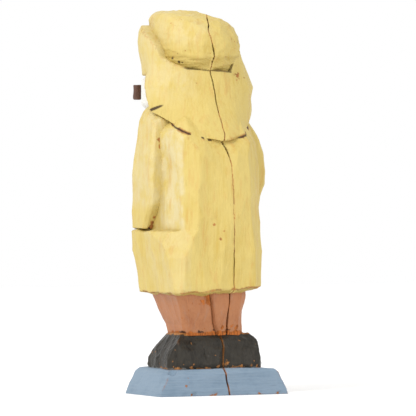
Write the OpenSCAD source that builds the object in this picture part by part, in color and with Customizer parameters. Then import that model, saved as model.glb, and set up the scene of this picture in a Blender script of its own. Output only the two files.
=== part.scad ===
// Carved and painted wooden figurine of an old fisherman in oilskins, on a plinth.
// The figure faces -Y and its left side is +X. The origin is the centre of the plinth's underside.

/* [Plinth] */
// Width of the plinth's underside
plinth_w = 110; // [96:1:130]
// Depth of the plinth's underside
plinth_d = 63; // [58:1:80]
// Height of the plinth
plinth_h = 20.5; // [15:0.5:26]
// How far each end slopes in from the underside to the top
plinth_slope = 9; // [2:0.5:10]

/* [Shoes and trousers] */
// Height of the shoes above the plinth
shoe_h = 26.5; // [23:0.5:30]
// Where the two shoes part, measured from the middle of the plinth
shoe_gap_x = -2; // [-4:0.5:4]
// Where the two trouser legs part
leg_gap_x = 7; // [4:0.5:9]
// Height of the legs that shows between the shoes and the coat
leg_h = 29.5; // [24:0.5:34]

/* [Coat] */
// Height from the hem to the cuffs
skirt_h = 50; // [40:1:60]
// Height from the cuffs to the top of the shoulders
torso_h = 83.5; // [76:0.5:90]
// Depth of the knife-cut corners of the coat
corner_cut = 10; // [4:0.5:14]
// How much the hem rises for each millimetre towards the right-hand side
hem_tilt = 0.06; // [0:0.01:0.1]
// Thickness of the strip down the front
placket_t = 1.4; // [0.8:0.1:2.5]
// Width of the strip down the front
placket_w = 13; // [8:0.5:18]
// Radius of a coat button
button_r = 3.1; // [2:0.1:4.5]
// Number of coat buttons
button_count = 4; // [3:1:5]

/* [Sleeves] */
// How far the left sleeve stands out from the coat
left_sleeve_t = 6.5; // [4:0.5:9]
// How far the right sleeve stands out from the coat
right_sleeve_t = 12; // [7:0.5:14]
// Height of the elbows above the cuffs
elbow_h = 38; // [30:1:46]

/* [Head and hat] */
// Height of the crown of the hat above its band
crown_h = 49.9; // [44:0.1:54]
// Thickness of the upturned front of the brim
brim_t = 4; // [3:0.5:6]
// How far the beard stands out from the face
beard_t = 6.5; // [4:0.5:7]

/* [Pipe] */
// Radius of the pipe's bowl
bowl_r = 3.2; // [2.5:0.1:4]
// Height of the pipe's bowl
bowl_h = 11.5; // [9:0.5:14]
// Radius of the chamber in the bowl
chamber_r = 1.9; // [1:0.1:2]
// Radius of the stem
stem_r = 1.2; // [0.8:0.1:1.4]

/* [Hidden] */

oilskin = "khaki";
cloth = "peru";
black_paint = [0.2, 0.2, 0.19];
blue_paint = [0.55, 0.66, 0.75];
skin = [0.87, 0.68, 0.55];
whiskers = "whitesmoke";
briar = [0.36, 0.25, 0.2];

sides = 40;                       // corners of every carved outline
shoe_z = plinth_h;
leg_z = shoe_z + shoe_h;
hem_z = leg_z + leg_h;
cuff_z = hem_z + skirt_h;
elbow_z = cuff_z + elbow_h;
shoulder_z = cuff_z + torso_h;
band_z = shoulder_z + 36;       // the hat's band, where the crown meets the brim
head_x = 4.6;                     // the head sits a little to the left of the plinth's middle
head_y = -12;                     // and a little forward of it
pipe_z = shoulder_z + 22.5;
mouth = [11, -50, pipe_z];
bowl_at = [25, -73.5, pipe_z];
fit_gap = 0.15;                   // half of the split between the two shoes and the two legs
core_left = 43;                   // sides of the coat's trunk, which the sleeves lie against
core_right = -33;

// A station is [z, right, left, front, back, squareness, rise per mm of x]. Squareness 2 is an
// ellipse, and larger values come closer to a rectangle.
function signed_power(v, e) = sign(v) * pow(abs(v), e);
function tilt(s) = len(s) > 6 ? s[6] : 0;
function outline(s) = [
    for (i = [0:sides - 1])
        let (
            t = 360 * i / sides,
            x = (s[1] + s[2]) / 2 + (s[2] - s[1]) / 2 * signed_power(cos(t), 2 / s[5]),
            y = (s[3] + s[4]) / 2 + (s[4] - s[3]) / 2 * signed_power(sin(t), 2 / s[5])
        )
        [x, y, s[0] + tilt(s) * x]
];

// A station with its four corners cut off flat, as a knife leaves them. An eighth number moves
// the back end of its left side inwards.
function cut_outline(s) = let (
    z = s[0],
    c = s[5],
    m = tilt(s),
    left_back = s[2] - (len(s) > 7 ? s[7] : 0)
) [
    for (p = [[s[2], s[3] + c], [left_back, s[4] - c], [left_back - c, s[4]], [s[1] + c, s[4]],
              [s[1], s[4] - c], [s[1], s[3] + c], [s[1] + c, s[3]], [s[2] - c, s[3]]])
        [p[0], p[1], z + m * p[0]]
];

// The solid between a stack of closed outlines that all have the same number of corners.
module loft(rings) {
    n = len(rings[0]);
    last = (len(rings) - 1) * n;
    polyhedron(
        [for (r = rings) each r],
        [
            [for (i = [0:n - 1]) i],
            [for (i = [n - 1:-1:0]) last + i],
            for (k = [0:len(rings) - 2])
                for (i = [0:n - 1])
                    each let (a = k * n + i, b = k * n + (i + 1) % n)
                        [[a, a + n, b + n], [a, b + n, b]]
        ]);
}

// The solid swept by a closed section, one section for each step round the head.
// A full turn is joined to its start, and anything less gets an end face on each side.
module sweep(sections, full) {
    n = len(sections[0]);
    steps = len(sections);
    last = (steps - 1) * n;
    polyhedron(
        [for (s = sections) each s],
        [
            if (!full) [for (i = [n - 1:-1:0]) i],
            if (!full) [for (i = [0:n - 1]) last + i],
            for (k = [0:full ? steps - 1 : steps - 2])
                for (i = [0:n - 1])
                    each let (
                        j = (i + 1) % n,
                        k2 = (k + 1) % steps,
                        a = k * n + i, b = k * n + j, c = k2 * n + j, d = k2 * n + i
                    )
                        [[a, b, c], [a, c, d]]
        ]);
}

// 0 below the first edge, 1 above the second, and smooth between them.
function ease(lo, hi, v) = let (t = min(1, max(0, (v - lo) / (hi - lo)))) t * t * (3 - 2 * t);

// A point round the head: angle 0 is straight ahead and 90 is the figure's left side.
function round_head(angle, half_w, front, back, z) =
    [head_x + half_w * sin(angle), head_y - cos(angle) * (cos(angle) > 0 ? front : back), z];

// Half width, front and back reach of the head and of the crown at a height.
function head_size(z) =
    let (t = ease(shoulder_z, shoulder_z + 16, z))
    [18 + 15 * t, 20 + 21 * t, 18 + 8 * t];
function crown_size(z) = let (
        t = (z - band_z) / crown_h,
        dome = sqrt(max(0.015, 1 - pow(max(0, t), 6.2))),
        swell = ease(-0.05, 0.42, t)
    )
    [(24.5 + 8 * swell) * dome, (31 + 7.5 * swell) * dome, (28 + 9.5 * swell) * dome];

module plinth() {
    color(blue_paint)
    intersection() {
        rotate([90, 0, 0])
        linear_extrude(plinth_d, center = true)
            polygon([[-plinth_w / 2, 0], [plinth_w / 2, 0],
                [plinth_w / 2 - plinth_slope, plinth_h - 2], [plinth_w / 2 - plinth_slope - 3, plinth_h],
                [plinth_slope + 3 - plinth_w / 2, plinth_h], [plinth_slope - plinth_w / 2, plinth_h - 2]]);
        rotate([90, 0, 90])
        linear_extrude(plinth_w, center = true)
            polygon([[-plinth_d / 2, 0], [plinth_d / 2, 0],
                [plinth_d / 2 - 0.5, plinth_h - 2], [plinth_d / 2 - 2, plinth_h],
                [2 - plinth_d / 2, plinth_h], [0.5 - plinth_d / 2, plinth_h - 2]]);
    }
}

// A chunky shoe between its inner side and its outer side, for one foot.
module shoe(inner, outer, toe_out) {
    way = outer > inner ? 1 : -1;
    // share of the height, how far the outer side has drawn in, front, back
    levels = [
        [0, 0, -29.5, 27.5],
        [0.3, 0.5, -29.5, 28],
        [0.55, 2.6, -25, 26],
        [0.8, 6.5, -19, 22],
        [1, 11, -15, 17]
    ];
    loft([
        for (s = levels)
            let (far = outer - way * s[1], front = s[2] - toe_out * (1 - s[0]))
            outline([shoe_z + s[0] * shoe_h, min(inner, far), max(inner, far), front, s[3], 4])
    ]);
}

module left_shoe() {
    color(black_paint)
    shoe(shoe_gap_x + fit_gap, 41.5, 1.5);
}

module right_shoe() {
    color(black_paint)
    shoe(shoe_gap_x - fit_gap, -38, 1);
}

// One trouser leg, which widens towards the coat.
module trouser_leg(inner, ankle, top) {
    loft([
        for (s = [[0, 0, -16, 20], [0.25, 0.1, -18, 23], [0.6, 0.55, -22, 27], [1, 1, -25, 30]])
            let (far = ankle + s[1] * (top - ankle))
            outline([leg_z + s[0] * leg_h, min(inner, far), max(inner, far), s[2], s[3], 3.5])
    ]);
}

module left_trouser_leg() {
    color(cloth)
    trouser_leg(leg_gap_x + fit_gap, 29, 37.5);
}

module right_trouser_leg() {
    color(cloth)
    trouser_leg(leg_gap_x - fit_gap, -24, -21);
}

// The stations of the coat, from the underside of its hem to the neck.
coat_stations = [
    [hem_z, -24, 40, -27, 32, 8, 0, 0],
    [hem_z + 5.6, -32, 44, -37, 38.5, corner_cut - 4, -hem_tilt, 0],
    [hem_z + 26, -32.5, 47, -38, 39, corner_cut - 1, 0, 2],
    [cuff_z, -33, 50, -38.5, 39.5, corner_cut, 0, 6],
    [cuff_z + 1, -33, core_left, -38.5, 39.5, corner_cut, 0, 0],
    [cuff_z + 57, core_right, core_left, -37, 38.5, corner_cut, 0, 0],
    [cuff_z + 67, core_right, core_left, -36, 31, corner_cut + 3, 0, 0],
    [shoulder_z, -18, 27, -32, 15, corner_cut, 0, 0]
];

module coat_body() {
    color(oilskin)
    loft([for (s = coat_stations) cut_outline(s)]);
}

// The front of the coat as [height, y], from the bottom of the placket to its top.
coat_front = [[hem_z + 6, -37], [hem_z + 26, -38], [cuff_z, -38.5], [cuff_z + 57, -37], [cuff_z + 67, -36]];

// The strip down the front of the coat, with a shallow seat for each button.
module coat_placket() {
    left = leg_gap_x + 4;
    color(oilskin)
    difference() {
        loft([
            for (s = coat_front)
                cut_outline([s[0], left - placket_w, left, s[1] - placket_t, s[1] + 1, 0.3])
        ]);
        coat_body();
        coat_buttons();
    }
}

// The buttons, let into the placket by a part of its thickness.
module coat_buttons() {
    spacing = 88 / (button_count - 1);
    color(black_paint)
    for (i = [0:button_count - 1]) {
        z = hem_z + 22 + i * spacing;
        translate([leg_gap_x - 2, lookup(z, coat_front) - placket_t / 2, z])
        rotate([90, 0, 0])
            cylinder(h = placket_t / 2 + 1.6, r = button_r, $fn = 32);
    }
}

module coat_collar() {
    color(oilskin)
    difference() {
        sweep([
            for (a = [-76:8:76])
                let (edge = 1 - 0.8 * ease(50, 76, abs(a)))
                [round_head(a, 16, 17, 16, shoulder_z - 6), round_head(a, 25, 25.5, 20, shoulder_z - 6),
                 round_head(a, 24, 24.5, 20, shoulder_z + 1.4 * edge),
                 round_head(a, 17, 19, 17, shoulder_z + 1.7 * edge)]
        ], false);
        coat_body();
        head();
    }
}

// A slab across an arm: [z, front, back, inner side, outer side].
module arm_slab(s) {
    translate([min(s[3], s[4]), s[1], s[0]])
        cube([abs(s[4] - s[3]), s[2] - s[1], 0.5]);
}

// A sleeve in two straight lengths, from the shoulder to the elbow and from the elbow to the cuff.
module sleeve(inner, t, rear, drop) {
    way = inner > 0 ? 1 : -1;
    outer = inner + way * t;
    elbow = [
        [elbow_z, -26, rear, inner, outer - way * 2],
        [elbow_z, -23, rear - 4, inner, outer]
    ];
    top = [
        [cuff_z + 73, -22, rear + 2, inner, outer - way * (drop + 2)],
        [cuff_z + 73, -18, rear - 2, inner, outer - way * drop],
        [cuff_z + 86, -17, rear - 7, inner - way * 7, inner - way * 2]
    ];
    cuff = [
        [cuff_z + 1.2, -33, -6, inner, outer - way * 1.5],
        [cuff_z + 1.2, -30, -9, inner, outer]
    ];
    hull() {
        for (s = top) arm_slab(s);
        for (s = elbow) arm_slab(s);
    }
    hull() {
        for (s = elbow) arm_slab(s);
        for (s = cuff) arm_slab(s);
    }
}

module left_sleeve() {
    color(oilskin)
    difference() {
        sleeve(core_left, left_sleeve_t, 5, 0.5);
        shoulder_slope(1);
        coat_body();
    }
}

module right_sleeve() {
    color(oilskin)
    difference() {
        sleeve(core_right, right_sleeve_t, 13, 5);
        shoulder_slope(-1);
        coat_body();
    }
}

// The sloping side of the trunk above the armpit, which the top of a sleeve lies on.
module shoulder_slope(way) {
    low = [way > 0 ? core_left : core_right, cuff_z + 67];
    high = [way > 0 ? 27 : -18, shoulder_z];
    rotate([90, 0, 0])
    linear_extrude(160, center = true)
        polygon([low, high, [way * 2, shoulder_z + 20], [way * 2, cuff_z + 67]]);
}

// The bore that the stem is glued into, from the mouth out past the whiskers.
module stem_line(r) {
    reach = bowl_at - mouth;
    translate(mouth)
    rotate([0, 90, atan2(reach[1], reach[0])])
        cylinder(h = norm(reach), r = r, $fn = 32);
}

module head() {
    color(skin)
    difference() {
        union() {
            loft([
                for (h = [0, 5, 10, 16, 26, band_z - shoulder_z])
                    let (z = shoulder_z + h, s = head_size(z))
                    [for (i = [0:sides - 1]) round_head(360 * i / sides, s[0], s[1], s[2], z)]
            ]);
            hull() {
                translate([head_x, head_y - 40, band_z - 2.6]) sphere(r = 2.2, $fn = 20);
                translate([head_x, head_y - 43.5, shoulder_z + 29.5]) sphere(r = 3.2, $fn = 20);
            }
        }
        stem_line(stem_r);
    }
}

module beard() {
    color(whiskers)
    difference() {
        sweep([
            for (a = [-84:7:84])
                let (
                    side = ease(16, 60, abs(a)),
                    t = beard_t * (1 - 0.7 * ease(76, 84, abs(a))),
                    low = shoulder_z + 2 + 5 * side,
                    mid = shoulder_z + 17,
                    top = shoulder_z + 20 + 14 * side,
                    neck = head_size(low),
                    jaw = head_size(mid)
                )
                [round_head(a, neck[0] - 2, neck[1] - 2, neck[2], low + 1.5),
                 round_head(a, neck[0] + t, neck[1] + t, neck[2], low),
                 round_head(a, jaw[0] + t, jaw[1] + t, jaw[2], mid),
                 round_head(a, jaw[0] + t * 0.9, jaw[1] + t * 0.9, jaw[2], top - 2 - 4 * side),
                 round_head(a, jaw[0] + t * 0.4, jaw[1] + t * 0.4, jaw[2], top),
                 round_head(a, jaw[0] - 2, jaw[1] - 2, jaw[2], top - 1),
                 round_head(a, jaw[0] - 2, jaw[1] - 2, jaw[2], mid)]
        ], false);
        head();
        stem_line(stem_r);
    }
}

module moustache() {
    color(whiskers)
    difference() {
        for (way = [-1, 1])
            hull() {
                translate([head_x + way * 2.6, head_y - 41.5, shoulder_z + 27]) sphere(r = 2.3, $fn = 24);
                translate([head_x + way * 8, head_y - 40.5, shoulder_z + 26]) sphere(r = 2, $fn = 24);
                translate([head_x + way * 14, head_y - 37.7, shoulder_z + 24]) sphere(r = 1, $fn = 24);
            }
        head();
    }
}

module hat_crown() {
    color(oilskin)
    loft([
        for (t = [0, 0.1, 0.2, 0.31, 0.42, 0.53, 0.64, 0.74, 0.83, 0.9, 0.95, 0.98, 1])
            let (z = band_z + t * crown_h, s = crown_size(z), lean = [3, -6, 0] * t * t)
            [for (i = [0:sides - 1]) round_head(360 * i / sides, s[0], s[1], s[2], z) + lean]
    ]);
}

// Lower edge, upper edge and flare of the brim by the angle from straight ahead.
function brim_low(a) = band_z + 0.5 - 29 * ease(72, 100, a) - 23 * ease(100, 165, a);
function brim_high(a) = band_z + 37 - 17 * ease(62, 95, a) - 17 * ease(95, 130, a);

// A [half width, front, back] made smaller all round.
function drawn_in(size, by) = [for (v = size) v - by];

// The brim: turned up in front, and a long flap over the neck behind. Its inner wall lies inside
// the head and the crown, which are then cut away, so that it fits whatever it lies on. It is one
// carved shell with no round holes, so it stays a single mesh.
module hat_brim() {
    color(oilskin)
    resize([0, 0, 0])
    difference() {
        sweep([
            for (i = [0:2 * sides - 1])
                let (
                    turn = 180 * i / sides,
                    a = turn > 180 ? 360 - turn : turn,
                    up = 1 - ease(58, 100, a),
                    low = brim_low(a),
                    high = brim_high(a),
                    neck_z = min(max(low + 3, shoulder_z + 1), band_z - 3),
                    valley_z = high - 2 - 10 * up,
                    neck = drawn_in(head_size(neck_z), 5),
                    band = drawn_in(crown_size(band_z), 7),
                    valley = drawn_in(crown_size(valley_z), 2.6 - 1.3 * up),
                    rim = drawn_in(crown_size(high), 3 - 8 * up),
                    lip = drawn_in(crown_size(high), -5 * up - brim_t),
                    edge = [41.5 + 3.5 * ease(95, 120, a), 46, 32 + 15 * ease(120, 180, a)],
                    mid = [42.5 + 3.5 * ease(72, 110, a), 49, 34 + 2 * ease(120, 180, a)]
                )
                [round_head(turn, edge[0] - 5, edge[1] - 5, edge[2] - 5, low + 3 * (1 - up)),
                 round_head(turn, edge[0], edge[1], edge[2], low),
                 round_head(turn, mid[0], mid[1], mid[2], low * 0.45 + high * 0.55),
                 round_head(turn, lip[0], lip[1], lip[2], high - 0.8),
                 round_head(turn, rim[0], rim[1], rim[2], high),
                 round_head(turn, valley[0], valley[1], valley[2], valley_z),
                 round_head(turn, band[0], band[1], band[2], band_z),
                 round_head(turn, neck[0], neck[1], neck[2], neck_z)]
        ], true);
        coat_body();
        left_sleeve();
        right_sleeve();
        head();
        beard();
        hat_crown();
    }
}

module pipe_bowl() {
    color(briar)
    difference() {
        translate(bowl_at - [0, 0, 4.2])
            cylinder(h = bowl_h, r = bowl_r, $fn = 48);
        translate(bowl_at + [0, 0, 1.8])
            cylinder(h = bowl_h, r = chamber_r, $fn = 48);
        stem_line(stem_r);
    }
}

module pipe_stem() {
    color(briar)
    stem_line(stem_r);
}

plinth();
left_shoe();
right_shoe();
left_trouser_leg();
right_trouser_leg();
coat_body();
coat_placket();
coat_buttons();
coat_collar();
left_sleeve();
right_sleeve();
head();
beard();
moustache();
hat_crown();
hat_brim();
pipe_bowl();
pipe_stem();
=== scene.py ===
import math

import bpy
import numpy as np
import openvdb
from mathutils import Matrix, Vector


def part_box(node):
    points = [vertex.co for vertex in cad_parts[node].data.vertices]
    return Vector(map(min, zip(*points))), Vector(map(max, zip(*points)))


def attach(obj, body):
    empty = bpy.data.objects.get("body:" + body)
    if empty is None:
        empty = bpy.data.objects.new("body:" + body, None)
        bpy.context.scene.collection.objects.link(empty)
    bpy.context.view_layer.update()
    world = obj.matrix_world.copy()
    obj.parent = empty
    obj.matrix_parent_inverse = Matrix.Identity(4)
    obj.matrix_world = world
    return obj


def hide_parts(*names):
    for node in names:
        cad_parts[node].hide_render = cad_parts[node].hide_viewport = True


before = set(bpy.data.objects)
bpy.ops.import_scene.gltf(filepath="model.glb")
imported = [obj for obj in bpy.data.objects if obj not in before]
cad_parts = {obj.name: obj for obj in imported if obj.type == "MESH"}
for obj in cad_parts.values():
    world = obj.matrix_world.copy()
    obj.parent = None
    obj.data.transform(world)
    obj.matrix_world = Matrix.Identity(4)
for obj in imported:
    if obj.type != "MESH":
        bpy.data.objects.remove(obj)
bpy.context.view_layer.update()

# Everything below is carved in millimetres, in the frame's own axes: the figure faces -Y,
# its left side is +X and the plinth stands on Z = 0.
MM = 0.001


def span(node):
    """Lowest and highest corner of a CAD node in millimetres."""
    low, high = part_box(node)
    return np.array(low) / MM, np.array(high) / MM


PLINTH_TOP = span("plinth")[1][2]
SHOE_TOP = span("left_shoe")[1][2]
HEM_Z = span("coat_body")[0][2]
SHOULDER_Z = span("coat_body")[1][2]
CUFF_Z = HEM_Z + 50
BAND_Z = span("hat_crown")[0][2]
CROWN_TOP = span("hat_crown")[1][2]
CROWN_H = CROWN_TOP - BAND_Z
HEAD_X, HEAD_Y = 4.6, -12.0
SHOE_GAP_X = -2.0
CORE_LEFT = 43.0
DIAGONAL = 0.7071       # 1 / sqrt(2), for corners cut at 45 degrees


# ---------------------------------------------------------------- small maths

def ease(low, high, value):
    """0 below low, 1 above high and smooth between them."""
    t = np.clip((value - low) / (high - low), 0.0, 1.0)
    return t * t * (3 - 2 * t)


def along(value, *stations):
    """Straight-line interpolation through (place, value) pairs."""
    places, values = zip(*stations)
    return np.interp(value, places, values).astype(np.float32)


def both(*fields):
    """The solid common to all the fields."""
    out = fields[0]
    for other in fields[1:]:
        out = np.maximum(out, other)
    return out


def joined(a, b, soft):
    """Two solids run together, with a fillet about `soft` millimetres wide."""
    h = np.clip(0.5 + 0.5 * (b - a) / soft, 0.0, 1.0)
    return b + (a - b) * h - soft * h * (1 - h)


def without(solid, cut):
    """A solid with another cut out of it."""
    return np.maximum(solid, -cut)


def stroke(x, y, z, start, end, radius, end_radius=None):
    """A rounded bar from start to end, which may taper."""
    a, b = np.array(start, np.float32), np.array(end, np.float32)
    d = b - a
    t = ((x - a[0]) * d[0] + (y - a[1]) * d[1] + (z - a[2]) * d[2]) / float(d @ d)
    t = np.clip(t, 0.0, 1.0)
    away = np.sqrt((x - a[0] - t * d[0]) ** 2 + (y - a[1] - t * d[1]) ** 2
                   + (z - a[2] - t * d[2]) ** 2)
    return away - (radius + t * ((radius if end_radius is None else end_radius) - radius))


def ball(x, y, z, centre, radii):
    """An ellipsoid, near enough a distance close to its surface."""
    r = np.broadcast_to(np.asarray(radii, np.float32), 3)
    q = np.sqrt(((x - centre[0]) / r[0]) ** 2 + ((y - centre[1]) / r[1]) ** 2
                + ((z - centre[2]) / r[2]) ** 2)
    return (q - 1) * r.min()


def half(x, y, normal, through):
    """The solid behind an upright plane with this outward normal, through a point."""
    n = np.array(normal, float) / np.hypot(*normal)
    return n[0] * (x - through[0]) + n[1] * (y - through[1])


def hashed(ix, iy, iz, seed):
    """Even pseudo-random values from 0 to 1 at whole-number places."""
    h = (ix.astype(np.uint32) * np.uint32(374761393) + iy.astype(np.uint32) * np.uint32(668265263)
         + iz.astype(np.uint32) * np.uint32(2246822519) + np.uint32(seed * 3266489917 % 2 ** 32))
    h = (h ^ (h >> np.uint32(13))) * np.uint32(1274126177)
    h = (h ^ (h >> np.uint32(16))) * np.uint32(2654435761)
    return (h >> np.uint32(8)).astype(np.float32) / np.float32(2 ** 24)


def noise(points, size, seed):
    """Smooth noise from -1 to 1. size is how far it takes to change, for each axis or for all."""
    q = points / np.broadcast_to(np.asarray(size, float), 3)
    cell = np.floor(q).astype(np.int64)
    t = (q - cell).astype(np.float32)
    t = t * t * (3 - 2 * t)
    out = 0
    for corner in range(8):
        i, j, k = corner & 1, corner >> 1 & 1, corner >> 2
        weight = ((t[:, 0] if i else 1 - t[:, 0]) * (t[:, 1] if j else 1 - t[:, 1])
                  * (t[:, 2] if k else 1 - t[:, 2]))
        out = out + weight * hashed(cell[:, 0] + i, cell[:, 1] + j, cell[:, 2] + k, seed)
    return out * 2 - 1


# ---------------------------------------------------------------- carving

class Skin:
    """The surface of a carved piece: its points, its four-sided faces and what it carries."""

    def __init__(self, points, quads):
        self.points = points.astype(np.float64)
        self.quads = quads.astype(np.int64)
        a = self.quads.ravel()
        b = np.roll(self.quads, -1, axis=1).ravel()
        pairs = np.unique(np.sort(np.stack([a, b], 1), axis=1), axis=0)
        self.a, self.b = pairs[:, 0], pairs[:, 1]
        n = len(points)
        self.links = np.bincount(self.a, minlength=n) + np.bincount(self.b, minlength=n)
        self.marks = {}

    def average(self, values, times=1):
        """Each point takes the mean of its neighbours, this many times."""
        n = len(self.points)
        columns = values if values.ndim == 2 else values[:, None]
        for _ in range(times):
            columns = np.stack([
                (np.bincount(self.a, c[self.b], n) + np.bincount(self.b, c[self.a], n)) / self.links
                for c in columns.T], 1)
        return columns if values.ndim == 2 else columns[:, 0]

    def normals(self):
        p = self.points[self.quads]
        face = np.cross(p[:, 2] - p[:, 0], p[:, 3] - p[:, 1])
        out = np.zeros_like(self.points)
        for k in range(3):
            out[:, k] = sum(np.bincount(self.quads[:, c], face[:, k], len(out)) for c in range(4))
        return out / np.maximum(np.linalg.norm(out, axis=1), 1e-9)[:, None]

    def push(self, distance):
        """Move every point along its own normal."""
        self.points += self.normals() * distance[:, None]


def places(start, end, step, fine):
    """Sample places along an axis, closer together between fine[0] and fine[1]."""
    if fine is None:
        return np.arange(start, end + step, step)
    return np.concatenate([np.arange(start, fine[0], step), np.arange(fine[0], fine[1], fine[2]),
                           np.arange(fine[1], end + step, step)])


def carved(field, low, high, step, fine=None):
    """The surface of a solid given as a field in millimetres, negative inside."""
    axes = [places(low[0], high[0], step, fine),
            places(low[1], high[1], step, None), places(low[2], high[2], step, None)]
    x, y, z = np.ix_(*[a.astype(np.float32) for a in axes])
    shape = tuple(len(a) for a in axes)
    reach = 3 * step
    values = np.clip(np.broadcast_to(field(x, y, z), shape), -reach, reach).astype(np.float32)
    grid = openvdb.FloatGrid(reach)
    grid.copyFromArray(np.ascontiguousarray(values))
    points, _, quads = grid.convertToPolygons(isovalue=0.0, adaptivity=0.0)
    points = np.stack([np.interp(points[:, k], np.arange(shape[k]), axes[k]) for k in range(3)], 1)
    return Skin(points, quads)


def knife_cuts(skin, width, height, depth, lean, seed, skip=None):
    """Shallow overlapping knife cuts. Each takes the surface round its own centre, and the low
    ridges between them stay, as they do on whittled wood."""
    rng = np.random.default_rng(seed)
    p = skin.points
    cell = np.floor(p / np.array([width, width, height])).astype(np.int64)
    _, first = np.unique(cell, axis=0, return_index=True)
    centres = p[np.sort(first)]
    centres = centres + rng.uniform(-0.5, 0.5, centres.shape) * [width, width, height]
    tilts = rng.normal(0, lean, centres.shape)
    deep = rng.uniform(0, depth, len(centres))
    out = np.empty(len(p))
    for start in range(0, len(p), 8192):
        d = (p[start:start + 8192, None, :] - centres[None]).astype(np.float32)
        bowl = (d[..., 0] ** 2 + d[..., 1] ** 2) / width ** 2 + d[..., 2] ** 2 / height ** 2
        cut = depth * 2.4 * bowl + (d * tilts[None]).sum(2) - deep[None]
        out[start:start + 8192] = cut.min(1)
    out = np.clip(out - np.median(out), -2 * depth, 1.2 * depth)
    skin.push(out if skip is None else out * skip)


def worn(skin, seed, wear=0.16, reach=7):
    """Marks edges, hollows for painted shade, and patchiness, for the paint to follow."""
    n = skin.normals()
    flat = skin.average(skin.points, reach)
    bulge = ((skin.points - flat) * n).sum(1)
    bulge = skin.average(bulge, 1)
    patch = 0.6 * noise(skin.points, 9, seed) + 0.4 * noise(skin.points, 3.2, seed + 1)
    skin.marks["edge"] = ease(wear, wear * 3.2, bulge + 0.10 * patch)
    # Painted shade: concave places are marked here, and the paint darkens them.
    skin.marks["hollow_shade"] = ease(wear, wear * 3.5, -bulge + 0.05 * patch)


def mark(skin, name, spots, rough, seed):
    """Adds a named mark with a ragged outline round each (x, y, z, radius) spot. Each spot is
    first moved to the nearest point of the surface."""
    ragged = 1 + rough * noise(skin.points, 2.2, seed) + 0.5 * rough * noise(skin.points, 0.9, seed + 1)
    value = skin.marks.get(name, np.zeros(len(skin.points)))
    for x, y, z, r in spots:
        nearest = skin.points[np.argmin(np.linalg.norm(skin.points - [x, y, z], axis=1))]
        d = np.linalg.norm(skin.points - nearest, axis=1) / r
        value = np.maximum(value, 1 - ease(0.8, 1.15, d * ragged))
    skin.marks[name] = value


MARKS = ["edge", "hollow_shade", "bare", "dark", "pale", "white", "iris", "lip"]


def show(skin, name, node, material):
    """Make the Blender object for a piece that stands in for a CAD node."""
    mesh = bpy.data.meshes.new(name)
    mesh.vertices.add(len(skin.points))
    mesh.vertices.foreach_set("co", (skin.points * MM).astype(np.float32).ravel())
    mesh.loops.add(4 * len(skin.quads))
    mesh.loops.foreach_set("vertex_index", skin.quads.astype(np.int32).ravel())
    mesh.polygons.add(len(skin.quads))
    mesh.polygons.foreach_set("loop_start", np.arange(0, 4 * len(skin.quads), 4, dtype=np.int32))
    mesh.polygons.foreach_set("use_smooth", np.full(len(skin.quads), True))
    mesh.update(calc_edges=True)
    for key in MARKS:
        values = skin.marks.get(key, np.zeros(len(skin.points)))
        mesh.attributes.new(key, "FLOAT", "POINT").data.foreach_set("value", values.astype(np.float32))
    mesh.materials.append(material)
    obj = bpy.data.objects.new(name, mesh)
    bpy.context.scene.collection.objects.link(obj)
    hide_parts(*node.split())
    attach(obj, "root")
    return obj


# ---------------------------------------------------------------- materials

class Nodes:
    """Short names for building a material's nodes."""

    def __init__(self, name):
        self.material = bpy.data.materials.new(name)
        self.material.use_nodes = True
        self.tree = self.material.node_tree
        self.shader = self.tree.nodes["Principled BSDF"]
        self.place = self.tree.nodes.new("ShaderNodeTexCoord").outputs["Object"]

    def link(self, value, socket):
        if hasattr(value, "is_output"):
            self.tree.links.new(value, socket)
        else:
            socket.default_value = value

    def noise(self, scale, detail=4.0, rough=0.55, warp=0.0):
        """Noise over the piece. scale is per axis, in cycles a metre."""
        mapping = self.tree.nodes.new("ShaderNodeMapping")
        mapping.inputs["Scale"].default_value = scale
        self.tree.links.new(self.place, mapping.inputs["Vector"])
        tex = self.tree.nodes.new("ShaderNodeTexNoise")
        tex.inputs["Scale"].default_value = 1.0
        tex.inputs["Detail"].default_value = detail
        tex.inputs["Roughness"].default_value = rough
        tex.inputs["Distortion"].default_value = warp
        self.tree.links.new(mapping.outputs["Vector"], tex.inputs["Vector"])
        return tex.outputs["Fac"]

    def range(self, value, low, high, to_low=0.0, to_high=1.0):
        node = self.tree.nodes.new("ShaderNodeMapRange")
        node.interpolation_type = "SMOOTHSTEP"
        for key, v in (("From Min", low), ("From Max", high), ("To Min", to_low), ("To Max", to_high)):
            node.inputs[key].default_value = v
        self.link(value, node.inputs["Value"])
        return node.outputs["Result"]

    def math(self, kind, a, b=0.0, clamp=False):
        node = self.tree.nodes.new("ShaderNodeMath")
        node.operation = kind
        node.use_clamp = clamp
        self.link(a, node.inputs[0])
        self.link(b, node.inputs[1])
        return node.outputs[0]

    def mix(self, amount, a, b):
        node = self.tree.nodes.new("ShaderNodeMix")
        node.data_type = "RGBA"
        self.link(amount, node.inputs[0])
        self.link(a, node.inputs[6])
        self.link(b, node.inputs[7])
        return node.outputs[2]

    def attribute(self, name):
        node = self.tree.nodes.new("ShaderNodeAttribute")
        node.attribute_name = name
        return node.outputs["Fac"]

    def bump(self, height, strength, distance, after=None):
        node = self.tree.nodes.new("ShaderNodeBump")
        node.inputs["Strength"].default_value = strength
        node.inputs["Distance"].default_value = distance
        self.link(height, node.inputs["Height"])
        if after is not None:
            self.link(after, node.inputs["Normal"])
        return node.outputs["Normal"]


# How bright a paint is made, so that it comes out right under a white world and two lights.
LIT = 0.62


def srgb(r, g, b, lit=LIT):
    """A paint that comes out as this colour, given in 0 to 255 steps, under the studio light."""
    out = []
    for v in (r, g, b):
        v = v / 255
        out.append(v / 12.92 if v <= 0.04045 else ((v + 0.055) / 1.055) ** 2.4)
    return (*[lit * v for v in out], 1.0)


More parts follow.
